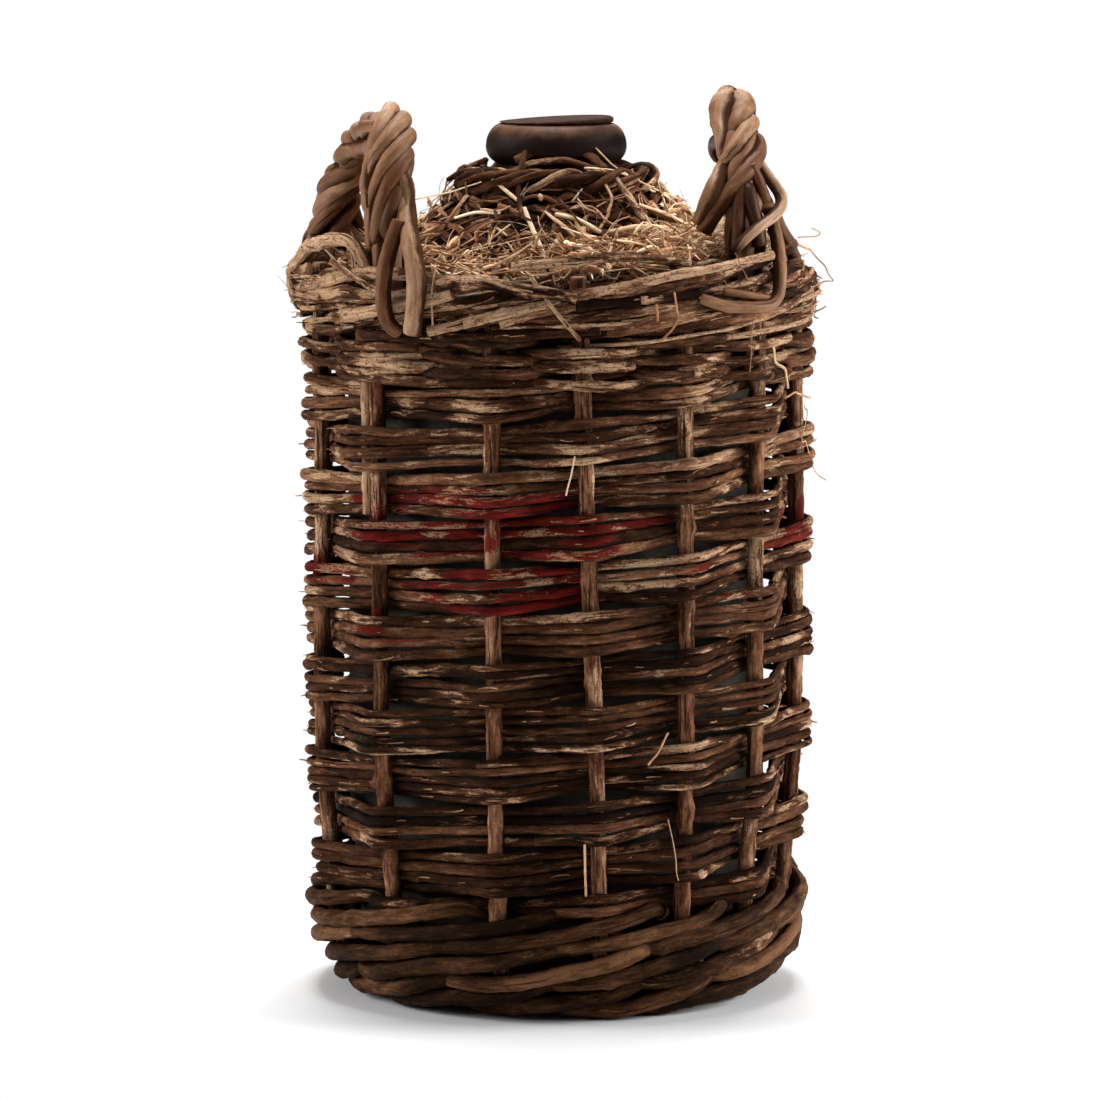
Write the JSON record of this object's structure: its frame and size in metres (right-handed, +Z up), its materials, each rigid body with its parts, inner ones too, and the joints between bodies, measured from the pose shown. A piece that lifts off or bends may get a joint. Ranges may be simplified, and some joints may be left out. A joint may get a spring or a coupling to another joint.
{
  "type": "wicker-cased rum flagon",
  "caption": "Stoneware flagon with a pressed-in bung, cased in woven willow with straw packing and two roped rod handles at its shoulder.",
  "frame": {"origin": "on the flagon's axis, in the plane that it stands on", "axes": "+Z up along the jar's axis, out of its mouth; -Y is the front of the picture; +X is its right-hand side, and the two handles stand at -X and +X"},
  "size_m": [0.2538, 0.2532, 0.4309],
  "materials": {
    "stoneware": "dark brown salt glaze with a soft sheen",
    "cork": "dark, dirty, matt",
    "willow_rods": "weathered bark, speckled, partly stained red",
    "willow_wale": "smooth greyish brown bark",
    "willow_stakes": "peeled, cracked, light tan",
    "willow_handles": "smooth worn bark, tan to reddish brown",
    "dark_twigs": "thin dark twigs, matt",
    "straw": "dry straw, pale gold"
  },
  "bodies": {
    "flagon": {"stoneware_jar": "stoneware", "straw_bed": "straw", "base_weave": "willow_rods", "base_sticks": "willow_stakes", "stake_01": "willow_stakes", "stake_02": "willow_stakes", "stake_03": "willow_stakes", "stake_04": "willow_stakes", "stake_05": "willow_stakes", "stake_06": "willow_stakes", "stake_07": "willow_stakes", "stake_08": "willow_stakes", "stake_09": "willow_stakes", "stake_10": "willow_stakes", "stake_11": "willow_stakes", "stake_12": "willow_stakes", "stake_13": "willow_stakes", "stake_14": "willow_stakes", "side_stake": "willow_handles", "wale_rod_1": "willow_wale", "wale_rod_2": "willow_wale", "wale_rod_3": "willow_wale", "wale_rod_4": "willow_wale", "wale_rod_5": "willow_wale", "slew_a_1": "willow_rods", "slew_a_2": "willow_rods", "slew_a_3": "willow_rods", "slew_a_4": "willow_rods", "slew_a_5": "willow_rods", "slew_a_6": "willow_rods", "slew_a_7": "willow_rods", "slew_b_1": "willow_rods", "slew_b_2": "willow_rods", "slew_b_3": "willow_rods", "slew_b_4": "willow_rods", "slew_b_5": "willow_rods", "slew_b_6": "willow_rods", "border_rod_1": "willow_rods", "border_rod_2": "willow_rods", "border_rod_3": "willow_rods", "border_rod_4": "willow_rods", "shoulder_row_1": "dark_twigs", "shoulder_row_2": "dark_twigs", "shoulder_row_3": "dark_twigs", "shoulder_row_4": "dark_twigs", "shoulder_row_5": "dark_twigs", "neck_collar": "dark_twigs", "straw_packing": "straw", "handle_bow_left": "willow_handles", "handle_bow_right": "willow_handles", "handle_left_strand_1": "willow_handles", "handle_left_strand_2": "willow_handles", "handle_left_strand_3": "willow_handles", "handle_left_strand_4": "willow_handles", "handle_right_strand_1": "willow_handles", "handle_right_strand_2": "willow_handles", "handle_right_strand_3": "willow_handles", "handle_right_strand_4": "willow_handles"},
    "bung": {"cork_bung": "cork"}
  },
  "joints": [
    {"name": "bung_pull", "type": "slide", "parent": "flagon", "child": "bung", "axis": [0, 0, 1], "range_m": [0, 0.06]}
  ]
}
